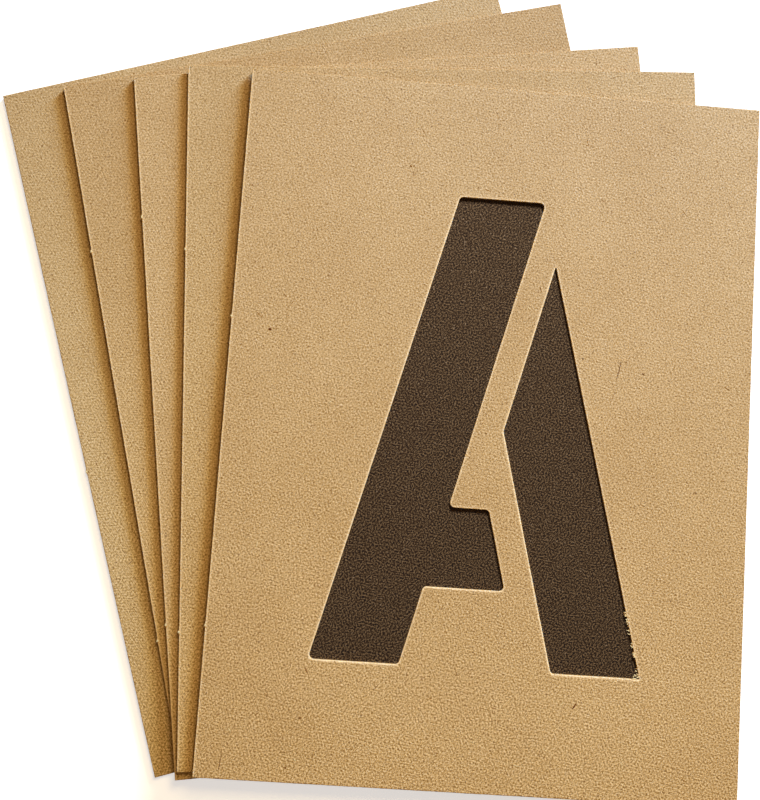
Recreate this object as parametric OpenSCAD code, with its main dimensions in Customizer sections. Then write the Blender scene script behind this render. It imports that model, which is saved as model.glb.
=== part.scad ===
// Set of five board lettering stencils, fanned out by hand from a corner of the stack.
// The top card carries the letter A and lies on a dark backing sheet; B to E follow below it.
// Millimetres. The top card's letter reads upright along +Y, +Z is up, and the bottom card
// rests on Z = 0. The origin is the middle of the fan's outline, at the underside.

/* [Cards] */
// Width of one card
card_w = 228.6; // [190:0.1:280]
// Height of one card
card_h = 304.8; // [250:0.1:370]
// Thickness of the board
board_t = 1.5; // [0.8:0.1:3]
// Air that the slight warp of loose board leaves between neighbours
air_gap = 0.2; // [0.1:0.1:0.6]

/* [Backing sheet] */
// Thickness of the dark backing sheet
sheet_t = 0.4; // [0.2:0.1:1]
// How far the sheet's edges stay inside the top card's edges
sheet_inset = 4; // [1:0.5:10]

/* [Letters] */
// Height of every letter
letter_h = 203.2; // [160:0.1:240]
// Width of the upright strokes, measured along the baseline
stroke_w = 38.1; // [30:0.1:42]
// Height of the level arms of B, C, D and E
arm_h = 32; // [20:0.5:40]
// Width of the board bridges that hold the loose parts of a letter
bridge_w = 12.7; // [6:0.1:16]
// Rounding of the letters' corners
corner_r = 2; // [0.5:0.1:4]
// Rounding of the corners that come to a point
point_r = 0.3; // [0.1:0.1:0.5]
// Width of the letter A across its feet
a_foot_w = 141; // [128:0.5:180]
// Width of the letter A across its flat top
a_top_w = 37; // [30:0.5:45]
// Height of the crossbar of the letter A
a_bar_h = 34; // [20:0.5:45]
// Height of the crossbar's lower edge above the baseline
a_bar_y = 33; // [20:0.5:45]
// Width of the letters B, C and D
letter_w = 150; // [135:0.5:180]
// Width of the letter E
e_w = 138; // [120:0.5:170]
// How much shorter the middle arm of the letter E is
e_short = 14; // [0:0.5:30]
// Outer rounding of the letters C and D
round_r = 60; // [45:0.5:66]
// Height of the mouth of the letter C
c_mouth = 62; // [40:0.5:80]

/* [Fan] */
// Angle from the top card to the B card, in degrees
step_ab = 4.13; // [0:0.01:12]
// Point about which the A card turns on the B card, measured from the card's middle
turn_ab = [-129, -248]; // [-400:1:400]
// Angle from the B card to the C card, in degrees
step_bc = 4.4; // [0:0.01:12]
// Point about which the B card turns on the C card
turn_bc = [-64, -168]; // [-400:1:400]
// Angle from the C card to the D card, in degrees
step_cd = 6.37; // [0:0.01:12]
// Point about which the C card turns on the D card
turn_cd = [-113, -133]; // [-400:1:400]
// Angle from the D card to the E card, in degrees
step_de = 3.06; // [0:0.01:12]
// Point about which the D card turns on the E card
turn_de = [-156, -360]; // [-400:1:400]

/* [Hidden] */
$fn = 96;

kraft = [0.76, 0.62, 0.42];
dark_brown = [0.29, 0.24, 0.19];

// Straight pieces that stand for the rounding of one corner
corner_steps = 5;
// How far a cut runs past the shape that it cuts
overrun = 1;
// Shortest straight edge that is drawn between two roundings
least_edge = 0.01;

// Upper edge of every letter, and side edges of B, C and D, from the card's middle
top = letter_h / 2;
left = -letter_w / 2;
right = letter_w / 2;
// Left edge of what stands to the right of the stem's bridge
past_stem = left + stroke_w + bridge_w;

// Cards from the top of the stack down: 0 is A and 4 is E
steps = [step_ab, step_bc, step_cd, step_de];
turns = [turn_ab, turn_bc, turn_cd, turn_de];
last = len(steps);
level_h = board_t + air_gap;
sheet_z = last * level_h;
a_card_z = sheet_z + sheet_t + air_gap;

function turned(p, angle) = [
    p.x * cos(angle) - p.y * sin(angle),
    p.x * sin(angle) + p.y * cos(angle)
];

// Angle and middle of a card, seen from the top card
function fan_angle(card) = card == 0 ? 0 : fan_angle(card - 1) + steps[card - 1];
function fan_middle(card) = card == 0
    ? [0, 0]
    : fan_middle(card - 1)
        + turned(turns[card - 1] - turned(turns[card - 1], steps[card - 1]), fan_angle(card - 1));

// The fan's outline is centred on the origin
corners = [
    for (card = [0:last], x = [-1, 1], y = [-1, 1])
        fan_middle(card) + turned([x * card_w / 2, y * card_h / 2], fan_angle(card))
];
xs = [for (p = corners) p.x];
ys = [for (p = corners) p.y];
outline_middle = [(min(xs) + max(xs)) / 2, (min(ys) + max(ys)) / 2];

function unit(v) = v / norm(v);

// Outline with each corner rounded by its own radius
function rounded(points, radii) = [
    for (i = [0:len(points) - 1])
        let (
            before = unit(points[(i + len(points) - 1) % len(points)] - points[i]),
            after = unit(points[(i + 1) % len(points)] - points[i]),
            half_angle = acos(before * after) / 2,
            centre = points[i] + unit(before + after) * radii[i] / sin(half_angle),
            from_centre = points[i] + before * radii[i] / tan(half_angle) - centre,
            sweep = (180 - 2 * half_angle) * sign(before.x * after.y - before.y * after.x)
        )
        for (step = [0:corner_steps])
            centre + turned(from_centre, -sweep * step / corner_steps)
];

// Rounded rectangle between two corners
module block(low, high) {
    polygon(rounded([low, [high.x, low.y], high, [low.x, high.y]], [for (i = [0:3]) corner_r]));
}

// Block whose two right corners are rounded by r
module bowl(low, high, r) {
    centre_x = high.x - r;
    intersection() {
        translate(low)
            square(high - low);
        union() {
            for (y = [low.y + r, high.y - r])
                translate([centre_x, y])
                    circle(r);
            if (centre_x > low.x)
                translate(low)
                    square([centre_x - low.x, high.y - low.y]);
            if (high.y - low.y > 2 * r + least_edge)
                translate([centre_x, low.y + r])
                    square([r, high.y - low.y - 2 * r]);
        }
    }
}

// Upright at the left of B, D and E, which starts at x
module stem(x) {
    block([x, -top], [x + stroke_w, top]);
}

// The letter A: a leaning left stroke with the crossbar, and a right stroke cut to a point.
// Level distances at depth d below the top follow the slope of the outer edges.
slope = (a_foot_w - a_top_w) / 2 / letter_h;
// Width of a bridge along the baseline, beside a leaning stroke
level_bridge = bridge_w * norm([1, slope]);

function a_left(d) = -a_top_w / 2 - slope * d;
function a_left_inner(d) = a_left(d) + stroke_w;
function a_right(d) = a_top_w / 2 + slope * d;
function a_right_inner(d) = a_right(d) - stroke_w;

module letter_a() {
    bar_bottom = letter_h - a_bar_y;
    bar_top = bar_bottom - a_bar_h;
    // Depths at which the right stroke's bridge side meets its outer and its inner edge
    apex = (stroke_w + level_bridge - a_top_w) / 2 / slope;
    knee = (2 * stroke_w + level_bridge - a_top_w) / 2 / slope;
    left_piece = [
        [a_left(0), top],
        [a_left_inner(0), top],
        [a_left_inner(bar_top), top - bar_top],
        [a_right_inner(bar_top) - level_bridge, top - bar_top],
        [a_right_inner(bar_bottom) - level_bridge, top - bar_bottom],
        [a_left_inner(bar_bottom), top - bar_bottom],
        [a_left_inner(letter_h), -top],
        [a_left(letter_h), -top]
    ];
    right_piece = [
        [a_right(apex), top - apex],
        [a_right(letter_h), -top],
        [a_right_inner(letter_h), -top],
        [a_right_inner(knee), top - knee]
    ];
    polygon(rounded(left_piece, [for (p = left_piece) corner_r]));
    polygon(rounded(right_piece, [point_r, point_r, corner_r, corner_r]));
}

// The letter B: a stem and two bowls that share the middle arm
module letter_b() {
    bowl_h = (letter_h + arm_h) / 2;
    bowl_r = bowl_h / 2;
    stem(left);
    difference() {
        for (low = [-top, top - bowl_h])
            bowl([past_stem, low], [right, low + bowl_h], bowl_r);
        for (low = [-top, top - bowl_h])
            bowl(
                [past_stem - overrun, low + arm_h],
                [right - stroke_w, low + bowl_h - arm_h],
                bowl_r - arm_h
            );
    }
}

// Half of a ring with a level arm above and below, open to the left of x
module half_ring(x) {
    difference() {
        bowl([x, -top], [right, top], round_r);
        bowl([x - overrun, arm_h - top], [right - stroke_w, top - arm_h], round_r - arm_h);
    }
}

// The letter C: two half rings, parted by bridges, with the mouth at the right
module letter_c() {
    mirror([1, 0])
        half_ring(bridge_w / 2);
    difference() {
        half_ring(bridge_w / 2);
        translate([0, -c_mouth / 2])
            square([right + overrun, c_mouth]);
    }
}

// The letter D: a stem and half a ring
module letter_d() {
    stem(left);
    half_ring(past_stem);
}

// The letter E: a stem and three arms, the middle one shorter
module letter_e() {
    stem(-e_w / 2);
    arm_x = -e_w / 2 + stroke_w + bridge_w;
    for (arm = [[-top, 0], [-arm_h / 2, e_short], [top - arm_h, 0]])
        block([arm_x, arm[0]], [e_w / 2 - arm[1], arm[0] + arm_h]);
}

// Puts a card where it lies in the fan
module fanned(card, z) {
    middle = fan_middle(card) - outline_middle;
    translate([middle.x, middle.y, z])
        rotate(fan_angle(card))
            children();
}

// Card of board with the letter that is given as its child cut through
module stencil_card(card, z) {
    color(kraft)
        fanned(card, z)
            linear_extrude(board_t)
                difference() {
                    square([card_w, card_h], center = true);
                    children();
                }
}

module letter_a_card() {
    stencil_card(0, a_card_z)
        letter_a();
}

// Plain sheet that lies squared up under the A card and shows through its letter
module backing_sheet() {
    color(dark_brown)
        fanned(0, sheet_z)
            linear_extrude(sheet_t)
                square([card_w - 2 * sheet_inset, card_h - 2 * sheet_inset], center = true);
}

module letter_b_card() {
    stencil_card(1, 3 * level_h)
        letter_b();
}

module letter_c_card() {
    stencil_card(2, 2 * level_h)
        letter_c();
}

module letter_d_card() {
    stencil_card(3, level_h)
        letter_d();
}

module letter_e_card() {
    stencil_card(4, 0)
        letter_e();
}

letter_a_card();
backing_sheet();
letter_b_card();
letter_c_card();
letter_d_card();
letter_e_card();
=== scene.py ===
"""Looks of a fanned set of board lettering stencils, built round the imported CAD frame."""
import math
import random

import bmesh
import bpy
import numpy as np
from mathutils import Matrix, Vector
from mathutils.geometry import delaunay_2d_cdt


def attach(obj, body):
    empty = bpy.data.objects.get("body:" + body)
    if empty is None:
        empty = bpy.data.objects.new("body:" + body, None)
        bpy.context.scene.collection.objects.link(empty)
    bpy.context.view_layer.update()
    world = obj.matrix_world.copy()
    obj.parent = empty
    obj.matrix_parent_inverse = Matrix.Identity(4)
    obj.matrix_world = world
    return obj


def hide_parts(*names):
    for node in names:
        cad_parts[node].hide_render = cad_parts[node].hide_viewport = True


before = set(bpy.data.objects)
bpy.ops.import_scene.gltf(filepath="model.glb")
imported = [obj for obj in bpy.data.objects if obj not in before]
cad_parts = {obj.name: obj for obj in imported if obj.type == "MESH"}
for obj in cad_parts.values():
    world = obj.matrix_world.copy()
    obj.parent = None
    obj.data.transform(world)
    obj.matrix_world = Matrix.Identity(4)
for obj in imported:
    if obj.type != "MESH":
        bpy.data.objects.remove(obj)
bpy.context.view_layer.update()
MM = 0.001

# Sizes of the part, in millimetres, as in its CAD source
CARD_W, CARD_H, BOARD_T = 228.6, 304.8, 1.5
SHEET_T, SHEET_INSET = 0.4, 4.0
LETTER_H, STROKE_W, ARM_H, BRIDGE_W = 203.2, 38.1, 32.0, 12.7
CORNER_R, POINT_R = 2.0, 0.3
A_FOOT_W, A_TOP_W, A_BAR_H, A_BAR_Y = 141.0, 37.0, 34.0, 33.0
LETTER_W, E_W, E_SHORT, ROUND_R, C_MOUTH = 150.0, 138.0, 14.0, 60.0, 62.0

# Each card's turn in degrees and the middle of its underside, as they lie in the fan
POSES = {
    "a": (0.0, 55.398, -23.955, 7.4),
    "b": (4.13, 37.203, -15.309, 5.1),
    "c": (8.53, 23.841, -11.847, 3.4),
    "d": (14.90, 6.820, -2.553, 1.7),
    "e": (17.96, -13.975, 0.0, 0.0),
}
SHEET_Z = 6.8

TOP = LETTER_H / 2
LEFT, RIGHT = -LETTER_W / 2, LETTER_W / 2
PAST_STEM = LEFT + STROKE_W + BRIDGE_W

# Steps on a rounded corner, least steps on an arc, and the length of an arc's step in millimetres
CORNER_STEPS, LEAST_ARC_STEPS, ARC_STEP = 8, 6, 1.5


# Outlines in a card's own plane, in millimetres

def rounded(points, radii):
    """The outline with each corner rounded by its own radius; 0 leaves a point as it is."""
    out = []
    count = len(points)
    for i in range(count):
        p = np.array(points[i], float)
        if radii[i] == 0:
            out.append(p)
            continue
        before = np.array(points[i - 1], float) - p
        after = np.array(points[(i + 1) % count], float) - p
        before /= np.linalg.norm(before)
        after /= np.linalg.norm(after)
        half = math.acos(float(np.clip(before @ after, -1, 1))) / 2
        middle = (before + after) / np.linalg.norm(before + after)
        centre = p + middle * radii[i] / math.sin(half)
        start = p + before * radii[i] / math.tan(half) - centre
        turn = math.copysign(math.pi - 2 * half, before[0] * after[1] - before[1] * after[0])
        for k in range(CORNER_STEPS + 1):
            a = -turn * k / CORNER_STEPS
            out.append(centre + np.array([start[0] * math.cos(a) - start[1] * math.sin(a),
                                          start[0] * math.sin(a) + start[1] * math.cos(a)]))
    return out


def arc(x, y, r, start, end):
    """Points on an arc about x, y, from one angle to another in degrees."""
    steps = max(LEAST_ARC_STEPS, int(abs(math.radians(end - start)) * r / ARC_STEP))
    angles = [math.radians(start + (end - start) * k / steps) for k in range(steps + 1)]
    return [(x + r * math.cos(a), y + r * math.sin(a)) for a in angles]


def soft(*parts):
    """One outline from corners, which are rounded, and arcs, which are kept."""
    points, radii = [], []
    for part in parts:
        if isinstance(part, tuple):
            points.append(part)
            radii.append(CORNER_R)
        else:
            points += part
            radii += [0] * len(part)
    return rounded(points, radii)


def rectangle(x0, y0, x1, y1):
    """Corners of a rectangle, anticlockwise."""
    return [(x0, y0), (x1, y0), (x1, y1), (x0, y1)]


def block(x0, y0, x1, y1):
    """A rectangle with rounded corners."""
    return soft(*rectangle(x0, y0, x1, y1))


def letter_a():
    slope = (A_FOOT_W - A_TOP_W) / 2 / LETTER_H
    bridge = BRIDGE_W * math.hypot(1, slope)
    bar_bottom = LETTER_H - A_BAR_Y
    bar_top = bar_bottom - A_BAR_H

    def outer(drop):
        return A_TOP_W / 2 + slope * drop

    def inner(drop):
        return outer(drop) - STROKE_W

    apex = (STROKE_W + bridge - A_TOP_W) / 2 / slope
    knee = (2 * STROKE_W + bridge - A_TOP_W) / 2 / slope
    left = [(-outer(0), TOP), (-inner(0), TOP), (-inner(bar_top), TOP - bar_top),
            (inner(bar_top) - bridge, TOP - bar_top), (inner(bar_bottom) - bridge, TOP - bar_bottom),
            (-inner(bar_bottom), TOP - bar_bottom), (-inner(LETTER_H), -TOP), (-outer(LETTER_H), -TOP)]
    right = [(outer(apex), TOP - apex), (outer(LETTER_H), -TOP), (inner(LETTER_H), -TOP),
             (inner(knee), TOP - knee)]
    right_radii = [POINT_R, POINT_R, CORNER_R, CORNER_R]
    return [rounded(left, [CORNER_R] * len(left)), rounded(right, right_radii)]


def letter_b():
    bowl_r = (LETTER_H + ARM_H) / 4
    hole_r = bowl_r - ARM_H
    mid = TOP - bowl_r
    x, hole_x = RIGHT - bowl_r, RIGHT - STROKE_W - hole_r
    waist = math.degrees(math.asin(mid / bowl_r))
    bowls = soft((PAST_STEM, TOP), arc(x, mid, bowl_r, 90, -waist),
                 arc(x, -mid, bowl_r, waist, -90)[1:], (PAST_STEM, -TOP),
                 (PAST_STEM, ARM_H - TOP), arc(hole_x, -mid, hole_r, -90, 90),
                 (PAST_STEM, -ARM_H / 2), (PAST_STEM, ARM_H / 2), arc(hole_x, mid, hole_r, -90, 90),
                 (PAST_STEM, TOP - ARM_H))
    return [block(LEFT, -TOP, LEFT + STROKE_W, TOP), bowls]


def ring_ends():
    """Outer and inner corner arcs of the right half of C and D, at the top: centre and radius."""
    hole_r = ROUND_R - ARM_H
    outer = (RIGHT - ROUND_R, TOP - ROUND_R, ROUND_R)
    inner = (RIGHT - STROKE_W - hole_r, TOP - ARM_H - hole_r, hole_r)
    return outer, inner


def half_ring(x):
    """The right half of C and D, from x on."""
    (ox, oy, outer), (ix, iy, hole) = ring_ends()
    return soft((x, TOP), arc(ox, oy, outer, 90, 0), arc(ox, -oy, outer, 0, -90), (x, -TOP),
                (x, ARM_H - TOP), arc(ix, -iy, hole, -90, 0), arc(ix, iy, hole, 0, 90), (x, TOP - ARM_H))


def letter_c():
    (ox, oy, outer), (ix, iy, hole) = ring_ends()
    x, mouth = BRIDGE_W / 2, C_MOUTH / 2
    upper = soft((x, TOP), arc(ox, oy, outer, 90, 0), (RIGHT, mouth), (RIGHT - STROKE_W, mouth),
                 arc(ix, iy, hole, 0, 90), (x, TOP - ARM_H))
    return [[(-p[0], p[1]) for p in half_ring(x)], upper, [(p[0], -p[1]) for p in upper]]


def letter_d():
    return [block(LEFT, -TOP, LEFT + STROKE_W, TOP), half_ring(PAST_STEM)]


def letter_e():
    left, arm_x = -E_W / 2, -E_W / 2 + STROKE_W + BRIDGE_W
    stem = block(left, -TOP, left + STROKE_W, TOP)
    arms = [(-TOP, 0), (-ARM_H / 2, E_SHORT), (TOP - ARM_H, 0)]
    return [stem] + [block(arm_x, y, E_W / 2 - short, y + ARM_H) for y, short in arms]


LETTERS = {"a": letter_a, "b": letter_b, "c": letter_c, "d": letter_d, "e": letter_e}


# Board meshes, in millimetres

# Step between points along an edge, the least distance between two of them, and what counts as none
POINT_STEP, LEAST_STEP, SAME_POINT = 0.9, 1e-4, 1e-6
# Least divisor of a corner's step, so that a sharp corner isn't moved too far
LEAST_MITRE = 0.2
# How many points a cut's slow wander is smoothed over, and what their sum is divided by
WANDER_POINTS, WANDER_DIVISOR = 9, 4
# How far in from the edge the roughness reaches, and its share on the faces beside the cut wall
ROUGH_REACH, ROUGH_ON_FACE = 1.0, 0.35
# By what share a nick stands out less at the underside than at the top
NICK_TAPER = 0.7
# Edges sharper than this, in degrees, aren't shaded smooth
SHARP_ANGLE = 50

# Profile of a cut edge from the top face down: how far in, depth as a share of the thickness, share of
# the painted highlight, share of cut wall, and share of the painted shade on the outline's top and right
# edges
PROFILE = [
    (1.20, 0.0, 0.0, 0.0, 0.0),
    (0.72, 0.0, 0.25, 0.0, 0.0),
    (0.45, 0.002, 0.95, 0.0, 0.25),
    (0.14, 0.010, 0.8, 0.0, 0.8),
    (0.03, 0.032, 0.4, 0.3, 1.0),
    (0.0, 0.08, 0.25, 1.0, 1.0),
    (0.0, 0.28, 0.0, 1.0, 1.0),
    (0.0, 0.50, 0.0, 1.0, 1.0),
    (0.0, 0.70, 0.0, 1.0, 1.0),
    (0.01, 0.88, 0.0, 1.0, 1.0),
    (0.04, 0.97, 0.0, 1.0, 1.0),
    (0.20, 1.0, 0.0, 0.3, 0.3),
    (0.8, 1.0, 0.0, 0.0, 0.0),
]


def spaced(loop):
    """The loop with its long straight stretches divided."""
    out = []
    for i in range(len(loop)):
        p = np.array(loop[i], float)
        q = np.array(loop[(i + 1) % len(loop)], float)
        far = np.linalg.norm(q - p)
        if far < LEAST_STEP:
            continue
        parts = max(1, int(math.ceil(far / POINT_STEP)))
        out += [p + (q - p) * k / parts for k in range(parts)]
    return np.array(out)


def area(loop):
    """Area inside the loop, above 0 if it runs anticlockwise."""
    x, y = loop[:, 0], loop[:, 1]
    return float(np.sum(x * np.roll(y, -1) - np.roll(x, -1) * y)) / 2


def into_board(loop, is_hole):
    """Unit step at each point that moves the loop into the board by one."""
    ahead = np.roll(loop, -1, 0) - loop
    ahead /= np.linalg.norm(ahead, axis=1)[:, None]
    left = np.stack([-ahead[:, 1], ahead[:, 0]], 1)
    both = left + np.roll(left, 1, 0)
    both /= np.maximum(1 + np.sum(left * np.roll(left, 1, 0), axis=1), LEAST_MITRE)[:, None]
    inside = 1 if area(loop) > 0 else -1
    return both * (-inside if is_hole else inside)


def within(points, loop):
    """Which points lie inside the loop."""
    hit = np.zeros(len(points), bool)
    x, y = points[:, 0], points[:, 1]
    for (x0, y0), (x1, y1) in zip(loop, np.roll(loop, -1, 0)):
        if y0 == y1:
            continue
        crosses = (y0 > y) != (y1 > y)
        hit ^= crosses & (x < (x1 - x0) * (y - y0) / (y1 - y0) + x0)
    return hit


def filled(rings, ids, points):
    """Triangles between an outer ring and the holes in it, as indices into the whole mesh's points."""
    flat = [i for ring in ids for i in ring]
    coords = [Vector(points[i][:2]) for i in flat]
    edges, at = [], 0
    for ring in ids:
        edges += [(at + k, at + (k + 1) % len(ring)) for k in range(len(ring))]
        at += len(ring)
    verts, _, faces, origin, _, _ = delaunay_2d_cdt(coords, edges, [], 0, SAME_POINT)
    back = [flat[o[0]] if o else None for o in origin]
    centres = np.array([[sum(verts[v][a] for v in f) / len(f) for a in (0, 1)] for f in faces])
    keep = within(centres, rings[0])
    for hole in rings[1:]:
        keep &= ~within(centres, hole)
    triangles = [tuple(back[v] for v in f) for f, kept in zip(faces, keep) if kept]
    return [triangle for triangle in triangles if None not in triangle]


def board(name, loops, thickness, rough, rng, nicks=(), left_highlight=1.0):
    """A flat board with cut edges: the first loop is its outline and the others are holes.

    Each nick is a place, how far it stands out and how far along the edge it spreads.
    """
    points, painted_highlight, wall, painted_edge_shade, faces = [], [], [], [], []
    top_rings, top_ids, low_rings, low_ids = [], [], [], []
    for number, loop in enumerate(loops):
        loop = spaced(loop)
        count = len(loop)
        inward = into_board(loop, number > 0)
        proud = np.zeros(count)
        for x, y, height, spread in nicks:
            far = np.linalg.norm(loop - np.array([x, y]), axis=1)
            proud += height * np.exp(-(far / spread) ** 2)
        # Slow wander of the cut, the same at every depth
        steps = rng.normal(0, rough, count + WANDER_POINTS - 1)
        wander = np.convolve(steps, np.ones(WANDER_POINTS) / WANDER_DIVISOR, "valid")
        # A hole has a painted highlight all round. The outline has one on its left, and painted shade at
        # its top and right, on the edge and its cut wall
        outward = -inward / np.linalg.norm(inward, axis=1)[:, None]
        highlighted = np.ones(count) if number else np.clip(-outward[:, 0], 0, 1) * left_highlight
        dark = np.zeros(count) if number else np.clip(outward.max(axis=1), 0, 1)
        rings = []
        for inset, depth, pale, is_wall, edge_shade_share in PROFILE:
            fade = max(0.0, 1 - inset / ROUGH_REACH)
            grain = rng.normal(0, rough * (1.0 if is_wall else ROUGH_ON_FACE), count) * fade
            bump = proud * fade * (1 - NICK_TAPER * depth)
            place = loop + inward * (inset + wander * fade + grain - bump)[:, None]
            rings.append((len(points), place))
            z = thickness * (1 - depth)
            points += [(x, y, z) for x, y in place]
            painted_highlight += [pale * share for share in highlighted]
            wall += [is_wall] * count
            painted_edge_shade += [edge_shade_share * share for share in dark]
        for (a, _), (b, _) in zip(rings, rings[1:]):
            for k in range(count):
                n = (k + 1) % count
                faces.append((a + k, a + n, b + n, b + k))
        ends = ((rings[0], top_rings, top_ids), (rings[-1], low_rings, low_ids))
        for (base, place), places, ids in ends:
            places.append(place)
            ids.append(list(range(base, base + count)))
    faces += filled(top_rings, top_ids, points)
    faces += filled(low_rings, low_ids, points)
    mesh = bpy.data.meshes.new(name)
    mesh.from_pydata([tuple(c * MM for c in p) for p in points], [], faces)
    for label, values in (("painted_highlight", painted_highlight), ("wall", wall), ("painted_edge_shade", painted_edge_shade)):
        layer = mesh.attributes.new(label, "FLOAT", "POINT")
        layer.data.foreach_set("value", values)
    return mesh


def tidy_normals(mesh):
    """Faces turned outwards, and smooth shading but for the sharp edges."""
    bm = bmesh.new()
    bm.from_mesh(mesh)
    bmesh.ops.recalc_face_normals(bm, faces=bm.faces)
    bm.to_mesh(mesh)
    bm.free()
    mesh.polygons.foreach_set("use_smooth", [True] * len(mesh.polygons))
    mesh.set_sharp_from_angle(angle=math.radians(SHARP_ANGLE))


def placed(mesh, name, turn, x, y, z):
    """The mesh as a piece, at its turn about +Z in degrees and its place in millimetres."""
    piece = bpy.data.objects.new(name, mesh)
    bpy.context.scene.collection.objects.link(piece)
    turned = Matrix.Rotation(math.radians(turn), 4, "Z")
    piece.matrix_world = Matrix.Translation((x * MM, y * MM, z * MM)) @ turned
    return piece


# Materials

class Nodes:
    """Short calls for one material's nodes."""

    def __init__(self, name):
        self.material = bpy.data.materials.new(name)
        self.material.use_nodes = True
        self.tree = self.material.node_tree
        self.shader = self.tree.nodes["Principled BSDF"]

    def add(self, kind, inputs=(), **settings):
        """A node with its settings, and its inputs linked to sockets or set to values."""
        node = self.tree.nodes.new(kind)
        for key, value in settings.items():
            setattr(node, key, value)
        for key, value in dict(inputs).items():
            self.feed(value, node.inputs[key])
        return node

    def feed(self, value, target):
        """Links a socket to the target, or sets the target to a value."""
        if isinstance(value, bpy.types.NodeSocket):
            self.tree.links.new(value, target)
        else:
            target.default_value = value

    def shade(self, **inputs):
        """Feeds the material's shader, whose inputs are named with _ for each space."""
        for key, value in inputs.items():
            self.feed(value, self.shader.inputs[key.replace("_", " ")])

    def math(self, operation, a, b=0.0, c=0.0, clamp=False):
        node = self.add("ShaderNodeMath", {0: a, 1: b, 2: c}, operation=operation)
        node.use_clamp = clamp
        return node.outputs[0]

    def noise(self, coords, scale, detail=0.0, rough=0.5, distort=0.0):
        inputs = {"Vector": coords, "Scale": scale, "Detail": detail, "Roughness": rough,
                  "Distortion": distort}
        return self.add("ShaderNodeTexNoise", inputs).outputs["Fac"]

    def centred(self, value):
        """A value from 0 to 1, less its middle."""
        return self.math("SUBTRACT", value, 0.5)

    def mix(self, factor, a, b, blend="MIX"):
        node = self.add("ShaderNodeMix", data_type="RGBA", blend_type=blend)
        for socket, value in ((node.inputs[0], factor), (node.inputs[6], a), (node.inputs[7], b)):
            self.feed(value, socket)
        return node.outputs[2]

    def tinted(self, colour, tint):
        return self.mix(1.0, colour, tint, "MULTIPLY")

    def ramp(self, factor, *colours):
        """Even steps between the colours, from 0 to 1."""
        node = self.add("ShaderNodeValToRGB", {0: factor})
        stops = node.color_ramp.elements
        while len(stops) < len(colours):
            stops.new(0.5)
        for k, colour in enumerate(colours):
            stops[k].position = k / (len(colours) - 1)
            stops[k].color = colour
        return node.outputs[0]

    def attribute(self, name):
        return self.add("ShaderNodeAttribute", attribute_name=name).outputs["Fac"]


def srgb(*levels):
    """Linear colour of a screen colour whose levels are from 0 to 255, by the sRGB curve."""
    shares = [level / 255 for level in levels]
    linear = [c / 12.92 if c <= 0.04045 else ((c + 0.055) / 1.055) ** 2.4 for c in shares]
    return tuple(linear) + (1.0,)


# How far apart light and dark fibres alternate, in metres, and the neighbours' directions in degrees
FIBRE_GAP = 0.00085
NEIGHBOURS = (20, 140, 260)
# Weight of the fine grain at a card's top, what is added to it at the bottom, and how fast that fades
GRAIN_AT_TOP, GRAIN_ADDED, GRAIN_FADE = 0.86, 0.55, 2.0
# Curly fibres: scale, detail and warp of their noise, and half the width of a ridge
CURL_SCALE, CURL_DETAIL, CURL_WARP, RIDGE_HALF = 640.0, 1.0, 2.2, 0.08
# Scale and warp of the slow patches and of the smaller ones, the detail of both, the strength of the
# smaller ones as a share, and the darkest and lightest tint
SLOW_SCALE, SLOW_WARP = 14.0, 0.4
PATCH_SCALE, PATCH_WARP = 60.0, 0.2
PATCH_DETAIL, PATCH_SHARE = 2.0, 0.5
PATCH_TINTS = ((0.92, 0.89, 0.84, 1), (1.08, 1.11, 1.16, 1))
# Least size that shows as a speck, and the greatest size
SPECK_LEAST, SPECK_MOST = 0.02, 0.5
# Layers of a cut wall: scales along and across the board, detail, roughness and contrast of their noise
LAYER_SCALES, LAYER_DETAIL, LAYER_ROUGH, LAYER_CONTRAST = (90.0, 90.0, 5200.0), 2.0, 0.6, 2.2
# How much of the board's darkest colour shows between a wall's fibres, and how that follows the grain
WALL_DARK, WALL_DARK_GAIN = 0.25, -0.8
# Scale of the unevenness of the painted highlights and of gloss, and the least strength of a painted
# highlight and what unevenness adds
UNEVEN_SCALE = 760.0
HIGHLIGHT_LEAST, HIGHLIGHT_ADDED = 0.45, 0.8
# Tint of the painted shade on the outline's top and right edges and their cut walls
PAINTED_SHADE_TINT = (0.84, 0.76, 0.64, 1)
# Finish of board: least roughness and what unevenness adds, gloss, and depth of the relief in metres
BOARD_ROUGH, BOARD_ROUGH_ADDED, BOARD_GLOSS, RELIEF_DEPTH = 0.82, 0.12, 0.18, 0.0002


def crisp_noise(n, coords, scale):
    """Fine noise less the mean of its neighbours, about 0, so that light and dark fibres alternate."""
    total = n.noise(coords, scale)
    for angle in NEIGHBOURS:
        step = (FIBRE_GAP * math.cos(math.radians(angle)), FIBRE_GAP * math.sin(math.radians(angle)), 0)
        beside = n.add("ShaderNodeVectorMath", {0: coords, 1: step}).outputs[0]
        total = n.math("MULTIPLY_ADD", n.noise(beside, scale), -1 / len(NEIGHBOURS), total)
    return total


def fibre_grain(n, coords, up_card, look):
    """Grain of pressed fibres, about 0: crisp ones, rougher down the card, and softer and curly ones."""
    scale, weight = look["crisp"]
    down_card = n.math("POWER", n.math("SUBTRACT", 1.0, up_card), GRAIN_FADE)
    rougher = n.math("MULTIPLY_ADD", down_card, GRAIN_ADDED * weight, GRAIN_AT_TOP * weight)
    grain = n.math("MULTIPLY", crisp_noise(n, coords, scale), rougher)
    scale, warp, weight = look["soft"]
    grain = n.math("MULTIPLY_ADD", n.centred(n.noise(coords, scale, distort=warp)), weight, grain)
    # Curly fibres are the ridges of a warped noise
    warped = n.noise(coords, CURL_SCALE, CURL_DETAIL, distort=CURL_WARP)
    ridge = n.math("SUBTRACT", RIDGE_HALF, n.math("ABSOLUTE", n.centred(warped)))
    return n.math("MULTIPLY_ADD", ridge, look["curl"], grain)


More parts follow.
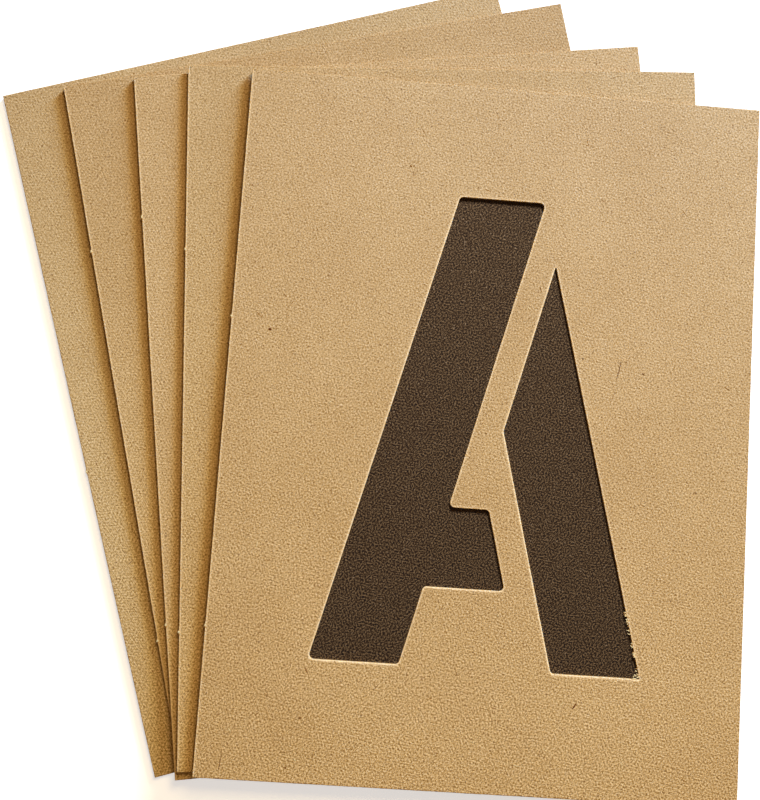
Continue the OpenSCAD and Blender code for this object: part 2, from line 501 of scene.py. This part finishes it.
def patched(n, coords, colour, strength):
    """The colour with slow patches of lighter and darker board."""
    slow = n.noise(coords, SLOW_SCALE, PATCH_DETAIL, distort=SLOW_WARP)
    patch = n.noise(coords, PATCH_SCALE, PATCH_DETAIL, distort=PATCH_WARP)
    shade = n.math("MULTIPLY_ADD", n.centred(slow), strength, 0.5)
    shade = n.math("MULTIPLY_ADD", n.centred(patch), strength * PATCH_SHARE, shade, clamp=True)
    return n.tinted(colour, n.mix(shade, *PATCH_TINTS))


def specked(n, coords, colour, specks):
    """The colour with specks, each kind by its scale, share of cells, sharpness, strength and colour."""
    for scale, share, sharpness, strength, speck_colour in specks:
        cells = n.add("ShaderNodeTexVoronoi", {"Vector": coords, "Scale": scale}, feature="F1")
        pick = n.add("ShaderNodeSeparateColor", {"Color": cells.outputs["Color"]}).outputs[0]
        size = n.math("MULTIPLY", n.math("SUBTRACT", pick, 1 - share), SPECK_MOST / share)
        reach = n.math("MULTIPLY_ADD", cells.outputs["Distance"], sharpness, SPECK_LEAST)
        speck = n.math("GREATER_THAN", size, reach)
        colour = n.mix(n.math("MULTIPLY", speck, strength), colour, speck_colour)
    return colour


def cut_edges(n, coords, colour, grain, uneven, look):
    """The colour with its layered cut walls, a painted highlight along cut edges and painted shade on
    the outline's top and right edges.
    """
    layers = n.add("ShaderNodeMapping", {"Vector": coords, "Scale": LAYER_SCALES}).outputs[0]
    strata = n.centred(n.noise(layers, 1.0, LAYER_DETAIL, LAYER_ROUGH))
    cut = n.mix(n.math("MULTIPLY_ADD", strata, LAYER_CONTRAST, 0.5, clamp=True), *look["wall"])
    between = n.math("MULTIPLY_ADD", grain, WALL_DARK_GAIN, WALL_DARK, clamp=True)
    colour = n.mix(n.attribute("wall"), colour, n.mix(between, cut, look["board"][0]))
    # Painted highlight: a pale line along the cut edges, uneven in strength
    painted_highlight = n.math("MULTIPLY_ADD", uneven, HIGHLIGHT_ADDED, HIGHLIGHT_LEAST)
    painted_highlight = n.math("MULTIPLY", n.attribute("painted_highlight"), painted_highlight, clamp=True)
    colour = n.mix(n.math("MULTIPLY", painted_highlight, look["painted_highlight_strength"]), colour, look["painted_highlight"])
    # Painted shade: the outline's top and right edges and walls are darkened
    return n.mix(n.attribute("painted_edge_shade"), colour, n.tinted(colour, PAINTED_SHADE_TINT))


def board_material(name, look, seed, tint):
    """Matt board with fibres, slow patches, a tint along it that paints light and shade, specks, painted
    highlights and painted shade at cut edges, and layered cut walls.
    """
    n = Nodes(name)
    spot = n.add("ShaderNodeTexCoord").outputs["Object"]
    coords = n.add("ShaderNodeMapping", {"Vector": spot, "Location": seed}).outputs[0]
    along = n.add("ShaderNodeSeparateXYZ", {0: spot}).outputs[1]
    up_card = n.math("MULTIPLY_ADD", along, 1 / (CARD_H * MM), 0.5, clamp=True)
    grain = fibre_grain(n, coords, up_card, look)
    uneven = n.noise(coords, UNEVEN_SCALE)
    colour = n.ramp(n.math("ADD", grain, 0.5, clamp=True), *look["board"])
    colour = patched(n, coords, colour, look["patches"])
    # Painted light and shade: the board is lightened or darkened along its length
    colour = n.tinted(colour, n.mix(up_card, *tint))
    colour = specked(n, coords, colour, look["specks"])
    colour = cut_edges(n, coords, colour, grain, uneven, look)
    relief = {"Height": grain, "Strength": look["relief"], "Distance": RELIEF_DEPTH}
    n.shade(Base_Color=colour, Roughness=n.math("MULTIPLY_ADD", uneven, BOARD_ROUGH_ADDED, BOARD_ROUGH),
            Specular_IOR_Level=BOARD_GLOSS, Normal=n.add("ShaderNodeBump", relief).outputs[0])
    return n.material


# Looks of the two boards. board: the grain's colours, from dark to light. crisp: scale and weight.
# soft: scale, warp and weight. curl and patches: strength. specks: as specked() takes them. wall: the
# layers' colours. relief: strength of the bump
KRAFT = {
    "board": (srgb(150, 114, 64), srgb(204, 168, 118), srgb(240, 207, 161)),
    "crisp": (2300.0, 1.15),
    "soft": (1250.0, 1.2, 0.5),
    "curl": 0.6,
    "patches": 1.15,
    "specks": [(230.0, 0.03, 4.0, 0.75, srgb(110, 74, 40)),
               (620.0, 0.55, 1.9, 0.8, srgb(142, 102, 56))],
    "wall": (srgb(100, 66, 34), srgb(146, 108, 66)),
    # Painted highlight along cut edges: its colour, then its strength
    "painted_highlight": srgb(255, 222, 174),
    "painted_highlight_strength": 1.0,
    "relief": 0.32,
}
DARK_BOARD = {
    "board": (srgb(7, 0, 0), srgb(60, 40, 21), srgb(138, 116, 93)),
    "crisp": (2200.0, 2.35),
    "soft": (1300.0, 1.2, 0.5),
    "curl": 0.5,
    "patches": 0.7,
    "specks": [(230.0, 0.04, 4.0, 0.8, srgb(180, 156, 128)),
               (800.0, 0.3, 2.0, 0.7, srgb(160, 136, 110))],
    "wall": (srgb(50, 38, 28), srgb(90, 72, 56)),
    # Painted highlight along cut edges: its colour, then its strength
    "painted_highlight": srgb(120, 98, 78),
    "painted_highlight_strength": 0.5,
    "relief": 0.36,
}

# Colour of loose fibres: scale and detail of its variation, and how dark and how light it gets
FIBRE_SCALE, FIBRE_DETAIL, FIBRE_DARKEST, FIBRE_LIGHTEST = 900.0, 1.0, 0.7, 1.25
# Their roughness and gloss
FIBRE_ROUGH, FIBRE_GLOSS = 0.7, 0.1


def fibre_material(name, colour):
    """Matt fibre whose colour varies from spot to spot."""
    n = Nodes(name)
    spot = n.add("ShaderNodeTexCoord").outputs["Object"]
    darkest = tuple(c * FIBRE_DARKEST for c in colour[:3]) + (1,)
    lightest = tuple(min(1, c * FIBRE_LIGHTEST) for c in colour[:3]) + (1,)
    shade = n.mix(n.noise(spot, FIBRE_SCALE, FIBRE_DETAIL), darkest, lightest)
    n.shade(Base_Color=shade, Roughness=FIBRE_ROUGH, Specular_IOR_Level=FIBRE_GLOSS)
    return n.material


# Loose fibres and flakes, in millimetres

# The tones of scraps, in the order of their materials
PALE, DARK, TAN = range(3)
FIBRE_MATERIALS = [
    fibre_material("pale_fibre", srgb(255, 236, 216)),
    fibre_material("dark_fibre", srgb(112, 66, 28)),
    fibre_material("tan_fibre", srgb(200, 158, 112)),
]
# A fibre's width at its tips and what its middle adds, its height as a share of its width, and its steps
TIP_WIDTH, MIDDLE_ADDED, FIBRE_HEIGHT, FIBRE_STEPS = 0.35, 0.65, 0.5, 5
# A flake's half thickness as a share of its size, its corners, how ragged it is and how long
FLAKE_HEIGHT, FLAKE_SIDES, FLAKE_RAGGED, FLAKE_STRETCH = 0.09, 7, (0.65, 1.1), 0.35
# Height at which scraps lie on a card
ON_TOP = BOARD_T + 0.01


class Scraps:
    """Loose bits of fibre on one card, gathered into one mesh."""

    def __init__(self, seed):
        self.points, self.faces, self.tones = [], [], []
        self.rng = random.Random(seed)

    def ribbon(self, path, width, tone):
        """A flattened fibre along a path of 3-D points, tapered to both ends and closed all round."""
        base, count = len(self.points), len(path)
        for k, p in enumerate(path):
            ahead = path[min(k + 1, count - 1)] - path[max(k - 1, 0)]
            side = Vector((-ahead.y, ahead.x, 0))
            side = side.normalized() if side.length > SAME_POINT else Vector((1, 0, 0))
            half = width / 2 * (TIP_WIDTH + MIDDLE_ADDED * math.sin(math.pi * (k + 0.5) / count))
            up = Vector((0, 0, FIBRE_HEIGHT * half))
            self.points += [p - side * half, p + up, p + side * half, p - up]
        last = base + 4 * (count - 1)
        walls = [(a + j, a + 4 + j, a + 4 + (j + 1) % 4, a + (j + 1) % 4)
                 for a in range(base, last, 4) for j in range(4)]
        ends = [(base, base + 1, base + 2, base + 3), (last + 3, last + 2, last + 1, last)]
        self.faces += walls + ends
        self.tones += [tone] * (len(walls) + len(ends))

    def curl(self, start, turn, length, bend, rise, width, tone, steps=FIBRE_STEPS):
        """A fibre that starts at a point and bends as it goes."""
        path, p = [], start.copy()
        for _ in range(steps + 1):
            path.append(p.copy())
            ahead = Vector((math.cos(turn), math.sin(turn), 0)) * length / steps
            p += ahead + Vector((0, 0, rise / steps))
            turn += bend / steps
        self.ribbon(path, width, tone)

    def flake(self, x, y, z, size, tone):
        """A small ragged chip, thickest in its middle and closed all round."""
        base = len(self.points)
        half = FLAKE_HEIGHT * size
        self.points += [Vector((x, y, z + half)), Vector((x, y, z - half))]
        start = self.rng.uniform(0, math.tau)
        long_way = self.rng.uniform(0, math.pi)
        for k in range(FLAKE_SIDES):
            a = start + math.tau * k / FLAKE_SIDES
            stretch = 1 + FLAKE_STRETCH * math.cos(2 * (a - long_way))
            r = size / 2 * self.rng.uniform(*FLAKE_RAGGED) * stretch
            self.points.append(Vector((x + r * math.cos(a), y + r * math.sin(a), z)))
        for k in range(FLAKE_SIDES):
            here, ahead = base + 2 + k, base + 2 + (k + 1) % FLAKE_SIDES
            self.faces += [(base, here, ahead), (base + 1, ahead, here)]
            self.tones += [tone, tone]

    def piece(self, name, pose):
        """The scraps as a piece, placed as their card is."""
        mesh = bpy.data.meshes.new(name)
        mesh.from_pydata([tuple(c * MM for c in p) for p in self.points], [], self.faces)
        for material in FIBRE_MATERIALS:
            mesh.materials.append(material)
        mesh.polygons.foreach_set("material_index", self.tones)
        tidy_normals(mesh)
        return placed(mesh, name, *pose)


# Fibres scattered on each card: how many, how far from the rim, least and most length and width, spread
# of their bend in radians, and the share of dark ones
FIBRE_COUNTS = {"a": 150, "b": 40, "c": 40, "d": 40, "e": 40}
SCATTER_RIM, SCATTER_LENGTH, SCATTER_WIDTH = 3, (1.0, 3.2), (0.10, 0.2)
SCATTER_BEND, SCATTER_DARK = 0.9, 0.5

# Where along each card's left edge the cutting die left a nick, how far one stands out and its spread
NICKS = {"a": (-90.4, 41.0), "b": (69.1, -95.1), "c": (88.4, -88.3), "d": (76.5, -94.6), "e": (-20.0,)}
NICK_SIZE = (0.5, 0.75)
# The flakes at a nick: their place beside it, size and tone
NICK_FLAKES = [(-0.05, 0, 1.1, PALE), (0.15, -0.8, 0.7, TAN)]

# Specks that show on the A card: place, size and tone
SPECKS = [
    (-97.3, 36.5, 1.6, DARK), (-41.2, 113.7, 1.0, DARK), (66.3, 28.9, 1.0, DARK),
    (43.1, -114.6, 1.0, DARK), (-71.8, -125.9, 1.0, DARK), (-76.4, -146.4, 0.9, DARK),
    (0.0, 35.8, 0.8, DARK), (-60.0, 90.0, 0.7, PALE),
]
# Longer dark fibres on the A card: from, to and width
LONG_FIBRES = [
    ((54.7, 26.0), (57.1, 33.4), 0.36), ((52.4, 14.7), (54.8, 20.1), 0.16),
    ((42.3, -115.5), (44.3, -112.9), 0.5), ((-103.9, -148.8), (-102.8, -143.1), 0.3),
    ((-71.3, -105.0), (-70.2, -107.8), 0.3),
]
LONG_FIBRE_BEND = 0.25

# The worn edge at the foot of the A's right stroke, and the clusters of scraps along it: share of the
# way, spread as a share, and count
FRAY_FROM, FRAY_TO = Vector((63.05, -72.5, 0)), Vector((70.45, -101.4, 0))
FRAY_CLUSTERS = [
    (0.06, 0.05, 8), (0.2, 0.04, 7), (0.33, 0.03, 4),
    (0.52, 0.02, 4), (0.64, 0.05, 12), (0.95, 0.04, 9),
]
# Share of the way past which more of the scraps are pale
PALER_FROM = 0.4
# How far below and above the top face they lie, and every how many of them one is a flake
FRAY_LOW, FRAY_HIGH, FLAKE_EVERY = 0.12, 0.06, 3
# The flakes there: how far past the edge, how much higher than the fibres, and their size
CHIP_PAST, CHIP_RAISED, CHIP_SIZE = (0.2, 0.8), 0.06, (0.5, 0.9)
# The torn fibres there: how far back they start on the board, most turn and bend either way in radians,
# length, rise and width
TORN_BACK, TORN_TURN, TORN_BEND = 0.1, 1.1, 1.6
TORN_LENGTH, TORN_RISE, TORN_WIDTH = (0.7, 1.6), (0.0, 0.12), (0.24, 0.42)
# Long curls at its corner: place beside the corner, turn, length and bend
CORNER_CURLS = [
    (-0.3, 0.2, 2.2, 2.6, -1.8), (-1.6, 0.1, 1.2, 2.2, 1.9), (-2.6, 0.0, 2.0, 1.8, -2.2),
    (-1.0, -0.1, 2.9, 2.4, 0.8), (0.1, -0.4, -0.5, 1.6, 1.2),
]
# How far below the top face they start, their rise, width and steps
CURL_DROP, CURL_RISE, CURL_WIDTH, CURL_STEPS = 0.1, 0.15, 0.32, 8


def scatter_fibres(scraps, loops, count):
    """Short curved fibres pressed into the card's top face, clear of the letter."""
    rng = scraps.rng
    far_x, far_y = CARD_W / 2 - SCATTER_RIM, CARD_H / 2 - SCATTER_RIM
    while count:
        x, y = rng.uniform(-far_x, far_x), rng.uniform(-far_y, far_y)
        turn, length = rng.uniform(0, math.tau), rng.uniform(*SCATTER_LENGTH)
        ends = np.array([[x, y], [x + length * math.cos(turn), y + length * math.sin(turn)]])
        if any(within(ends, np.array(loop)).any() for loop in loops):
            continue
        tone = DARK if rng.random() < SCATTER_DARK else PALE
        bend, width = rng.gauss(0, SCATTER_BEND), rng.uniform(*SCATTER_WIDTH)
        scraps.curl(Vector((x, y, ON_TOP)), turn, length, bend, 0, width, tone)
        count -= 1


def nick_flakes(scraps, heights):
    """Flakes at the nicks in the card's left edge."""
    for height in heights:
        for x, y, size, tone in NICK_FLAKES:
            scraps.flake(-CARD_W / 2 + x, height + y, ON_TOP, size, tone)


def marks_of_top_card(scraps):
    """The specks and longer fibres that show on the A card."""
    for x, y, size, tone in SPECKS:
        scraps.flake(x, y, ON_TOP, size, tone)
    for (x0, y0), (x1, y1), width in LONG_FIBRES:
        turn, length = math.atan2(y1 - y0, x1 - x0), math.hypot(x1 - x0, y1 - y0)
        scraps.curl(Vector((x0, y0, ON_TOP)), turn, length, LONG_FIBRE_BEND, 0, width, DARK)


def fray(scraps):
    """Scraps of torn fibre along the worn edge, in clusters and thicker towards the corner."""
    rng = scraps.rng
    for cluster, spread, count in FRAY_CLUSTERS:
        tones = (PALE, PALE, TAN) if cluster > PALER_FROM else (PALE, TAN)
        for k in range(count):
            at = FRAY_FROM.lerp(FRAY_TO, min(1.0, max(0.0, rng.gauss(cluster, spread))))
            at.z = rng.uniform(BOARD_T - FRAY_LOW, BOARD_T + FRAY_HIGH)
            tone = rng.choice(tones)
            if k % FLAKE_EVERY == 0:
                past, size = rng.uniform(*CHIP_PAST), rng.uniform(*CHIP_SIZE)
                scraps.flake(at.x - past, at.y, at.z + CHIP_RAISED, size, tone)
                continue
            turn, length = math.pi + rng.uniform(-TORN_TURN, TORN_TURN), rng.uniform(*TORN_LENGTH)
            bend, rise = rng.uniform(-TORN_BEND, TORN_BEND), rng.uniform(*TORN_RISE)
            width = rng.uniform(*TORN_WIDTH)
            scraps.curl(at + Vector((TORN_BACK, 0, 0)), turn, length, bend, rise, width, tone)
    for x, y, turn, length, bend in CORNER_CURLS:
        start = FRAY_TO + Vector((x, y, BOARD_T - CURL_DROP))
        scraps.curl(start, turn, length, bend, CURL_RISE, CURL_WIDTH, PALE, steps=CURL_STEPS)


# Cards and sheet

# Painted light and shade along each card: its tint at its bottom and at its top
PAINTED_LIGHT_TINTS = {
    "a": ((1.0, 0.96, 0.85, 1), (0.97, 0.97, 0.975, 1)),
    "b": ((1.07, 1.06, 0.94, 1), (0.93, 0.93, 0.91, 1)),
    "c": ((1.11, 1.13, 1.11, 1), (0.95, 0.94, 0.92, 1)),
    "d": ((1.16, 1.2, 1.16, 1), (0.87, 0.84, 0.79, 1)),
    "e": ((1.12, 1.18, 1.17, 1), (0.92, 0.94, 0.95, 1)),
}
# The dark sheet's tint at its bottom and at its top: part of its own dark colour, and a painted gradient
# of light along it
SHEET_TINT_AND_PAINTED_LIGHT = ((0.88, 0.79, 0.61, 1), (0.8, 0.73, 0.6, 1))
# How far each board's noise is shifted, in metres, so that no two look alike
SEEDS = {
    "a": (0.13, 0.71, 0.37),
    "b": (1.91, 0.17, 0.55),
    "c": (0.62, 2.33, 0.08),
    "d": (3.14, 1.21, 0.93),
    "e": (2.27, 0.44, 1.66),
}
SHEET_SEED = (5.1, 3.3, 0.4)
# Seeds of the random draws for the cards' edges and scraps, to which the letter's code is added, and
# for the sheet's edges
EDGE_DRAWS, SCRAP_DRAWS, SHEET_DRAWS = 100, 30, 7
# How rough the cuts are, in millimetres
CARD_ROUGH, SHEET_ROUGH = 0.018, 0.01
# How strong the painted highlight along each card's left edge is
LEFT_HIGHLIGHTS = {"a": 1.0, "b": 1.0, "c": 1.0, "d": 1.0, "e": 0.0}


def lettered_card(key, pose):
    """One card with its letter cut through, and its fibres, which are returned."""
    loops = LETTERS[key]()
    outline = rectangle(-CARD_W / 2, -CARD_H / 2, CARD_W / 2, CARD_H / 2)
    nicks = [(-CARD_W / 2, y, *NICK_SIZE) for y in NICKS[key]]
    rng = np.random.default_rng(EDGE_DRAWS + ord(key))
    mesh = board("letter_%s_board" % key, [outline] + loops, BOARD_T, CARD_ROUGH, rng, nicks,
                 LEFT_HIGHLIGHTS[key])
    tidy_normals(mesh)
    mesh.materials.append(board_material("kraft_" + key, KRAFT, SEEDS[key], PAINTED_LIGHT_TINTS[key]))
    card = placed(mesh, "letter_%s_board" % key, *pose)
    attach(card, "%s_card" % key)
    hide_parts("letter_%s_card" % key)

    scraps = Scraps(SCRAP_DRAWS + ord(key))
    scatter_fibres(scraps, loops, FIBRE_COUNTS[key])
    nick_flakes(scraps, NICKS[key])
    if key == "a":
        marks_of_top_card(scraps)
        fray(scraps)
    fibres = scraps.piece("letter_%s_fibres" % key, pose)
    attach(fibres, "%s_card" % key)
    return fibres


def backing_sheet():
    """The dark sheet, squared up under the A card."""
    half_w, half_h = CARD_W / 2 - SHEET_INSET, CARD_H / 2 - SHEET_INSET
    outline = rectangle(-half_w, -half_h, half_w, half_h)
    rng = np.random.default_rng(SHEET_DRAWS)
    mesh = board("dark_backing_sheet", [outline], SHEET_T, SHEET_ROUGH, rng)
    tidy_normals(mesh)
    mesh.materials.append(board_material("dark_board", DARK_BOARD, SHEET_SEED, SHEET_TINT_AND_PAINTED_LIGHT))
    sheet = placed(mesh, "dark_backing_sheet", *POSES["a"][:3], SHEET_Z)
    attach(sheet, "backing")
    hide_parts("backing_sheet")
    return sheet


loose_fibres = [lettered_card(key, pose) for key, pose in POSES.items()]
sheet = backing_sheet()


# Floor and surroundings

# The floor's half width and how far it lies under the cards, in metres
FLOOR_HALF, FLOOR_DROP = 0.8, 0.0001
# Its colour, roughness and gloss, and the glow that makes it white to the camera
FLOOR_COLOUR, FLOOR_ROUGH, FLOOR_GLOSS, FLOOR_GLOW = (0.86, 0.86, 0.86, 1), 0.9, 0.1, 0.62
WHITE, BLACK = (1, 1, 1, 1), (0, 0, 0, 1)

# Light on a level surface, in red, green and blue: together they are a plain 1
AMBIENT = (0.13, 0.07, 0.02)
TOP_LIGHT = (0.40, 0.30, 0.15)
NEAR_LIGHT = (0.03, 0.17, 0.48)
FAR_LIGHT = tuple(1 - a - b - c for a, b, c in zip(AMBIENT, TOP_LIGHT, NEAR_LIGHT))
SHEET_LIGHT = tuple(1 - a for a in AMBIENT)


def seen_directly(tree):
    """1 where the camera, a gloss or a clear thing shows it, and 0 for the light that it gives."""
    path = tree.nodes.new("ShaderNodeLightPath")
    seen = path.outputs["Is Camera Ray"]
    for ray in ("Is Glossy Ray", "Is Transmission Ray"):
        either = tree.nodes.new("ShaderNodeMath")
        either.operation = "MAXIMUM"
        tree.links.new(seen, either.inputs[0])
        tree.links.new(path.outputs[ray], either.inputs[1])
        seen = either.outputs[0]
    return seen


def plain_floor():
    """A pale floor, which keeps the shadows and is white around them."""
    mesh = bpy.data.meshes.new("floor")
    corners = rectangle(-FLOOR_HALF, -FLOOR_HALF, FLOOR_HALF, FLOOR_HALF)
    mesh.from_pydata([(x, y, 0) for x, y in corners], [], [(0, 1, 2, 3)])
    floor = bpy.data.objects.new("floor", mesh)
    floor.location.z = -FLOOR_DROP
    bpy.context.scene.collection.objects.link(floor)
    n = Nodes("pale_floor")
    n.shade(Base_Color=FLOOR_COLOUR, Roughness=FLOOR_ROUGH, Specular_IOR_Level=FLOOR_GLOSS)
    glow = n.add("ShaderNodeEmission", {"Color": WHITE, "Strength": FLOOR_GLOW}).outputs[0]
    none = n.add("ShaderNodeEmission", {"Color": BLACK, "Strength": 0.0}).outputs[0]
    extra = n.add("ShaderNodeMixShader", {0: seen_directly(n.tree), 1: none, 2: glow}).outputs[0]
    both = n.add("ShaderNodeAddShader", {0: n.shader.outputs[0], 1: extra}).outputs[0]
    n.feed(both, n.tree.nodes["Material Output"].inputs[0])
    mesh.materials.append(n.material)


def surroundings():
    """Faint light from all round, and white where the surroundings are seen directly."""
    world = bpy.data.worlds.new("surroundings")
    bpy.context.scene.world = world
    world.use_nodes = True
    tree = world.node_tree
    ambient = tree.nodes["Background"]
    white = tree.nodes.new("ShaderNodeBackground")
    for background, colour in ((ambient, AMBIENT + (1,)), (white, WHITE)):
        background.inputs[0].default_value = colour
        background.inputs[1].default_value = 1.0
    mixed = tree.nodes.new("ShaderNodeMixShader")
    tree.links.new(seen_directly(tree), mixed.inputs[0])
    tree.links.new(ambient.outputs[0], mixed.inputs[1])
    tree.links.new(white.outputs[0], mixed.inputs[2])
    tree.links.new(mixed.outputs[0], tree.nodes["World Output"].inputs[0])


def lamp(name, azimuth, elevation, distance, width, height, share, only=None, but=None):
    """Area lamp that faces the cards, seen from them at that azimuth from +X and that elevation.

    Distance, width and height are in metres. share is the part of a plain level of light that it gives
    to a level surface, in red, green and blue. It lights only some pieces, or all but some.
    """
    e = math.radians(elevation)
    data = bpy.data.lights.new(name, "AREA")
    data.shape = "RECTANGLE"
    data.size, data.size_y = width, height
    data.energy = math.pi ** 2 * distance ** 2 * max(share) / math.sin(e)
    data.color = [c / max(share) for c in share]
    lit = bpy.data.objects.new(name, data)
    bpy.context.scene.collection.objects.link(lit)
    turn = Matrix.Rotation(math.radians(azimuth), 4, "Z") @ Matrix.Rotation(math.pi / 2 - e, 4, "Y")
    upright = Matrix.Rotation(math.pi / 2, 4, "Z")
    lit.matrix_world = turn @ Matrix.Translation((0, 0, distance)) @ upright
    lit.visible_camera = False
    group = bpy.data.collections.new(name + "_lit")
    for piece in only or but:
        group.objects.link(piece)
    if but:
        for item in group.collection_objects:
            item.light_linking.link_state = "EXCLUDE"
    lit.light_linking.receiver_collection = group


plain_floor()
surroundings()
lamp("far_softbox", azimuth=56, elevation=13.5, distance=4.2, width=1.25, height=1.25,
     share=FAR_LIGHT, but=[sheet])
lamp("near_softbox", azimuth=58, elevation=10.5, distance=1.3, width=0.32, height=0.25,
     share=NEAR_LIGHT, but=[sheet] + loose_fibres)
lamp("top_lamp", azimuth=66, elevation=40, distance=3.0, width=1.2, height=1.2,
     share=TOP_LIGHT, but=[sheet])
lamp("top_lamp_on_sheet", azimuth=78, elevation=42, distance=0.8, width=0.2, height=0.2,
     share=SHEET_LIGHT, only=[sheet])


# Camera at the photo's viewpoint, for a frame of 760 by 800 pixels

# Its place in millimetres and its axes, as fitted to the top card
CAMERA_AT = (-2.020, -42.230, 352.817)
CAMERA_RIGHT = (0.99703, 0.06924, 0.03372)
CAMERA_UP = (-0.07168, 0.99441, 0.07752)
CAMERA_BACK = (-0.02816, -0.07971, 0.99642)
FOCAL_PX, FRAME_PX, SENSOR_MM = 800.0, 760.0, 36.0
CLIP_NEAR, CLIP_FAR = 0.01, 20.0


def photo_camera():
    """The camera as it stood for the photo."""
    data = bpy.data.cameras.new("camera")
    data.sensor_fit = "HORIZONTAL"
    data.sensor_width = SENSOR_MM
    data.lens = SENSOR_MM * FOCAL_PX / FRAME_PX
    data.clip_start, data.clip_end = CLIP_NEAR, CLIP_FAR
    camera = bpy.data.objects.new("camera", data)
    bpy.context.scene.collection.objects.link(camera)
    axes = Matrix((CAMERA_RIGHT, CAMERA_UP, CAMERA_BACK)).transposed()
    camera.matrix_world = Matrix.Translation(Vector(CAMERA_AT) * MM) @ axes.to_4x4()
    return camera


bpy.context.scene.camera = photo_camera()
bpy.context.scene.view_settings.view_transform = "Standard"
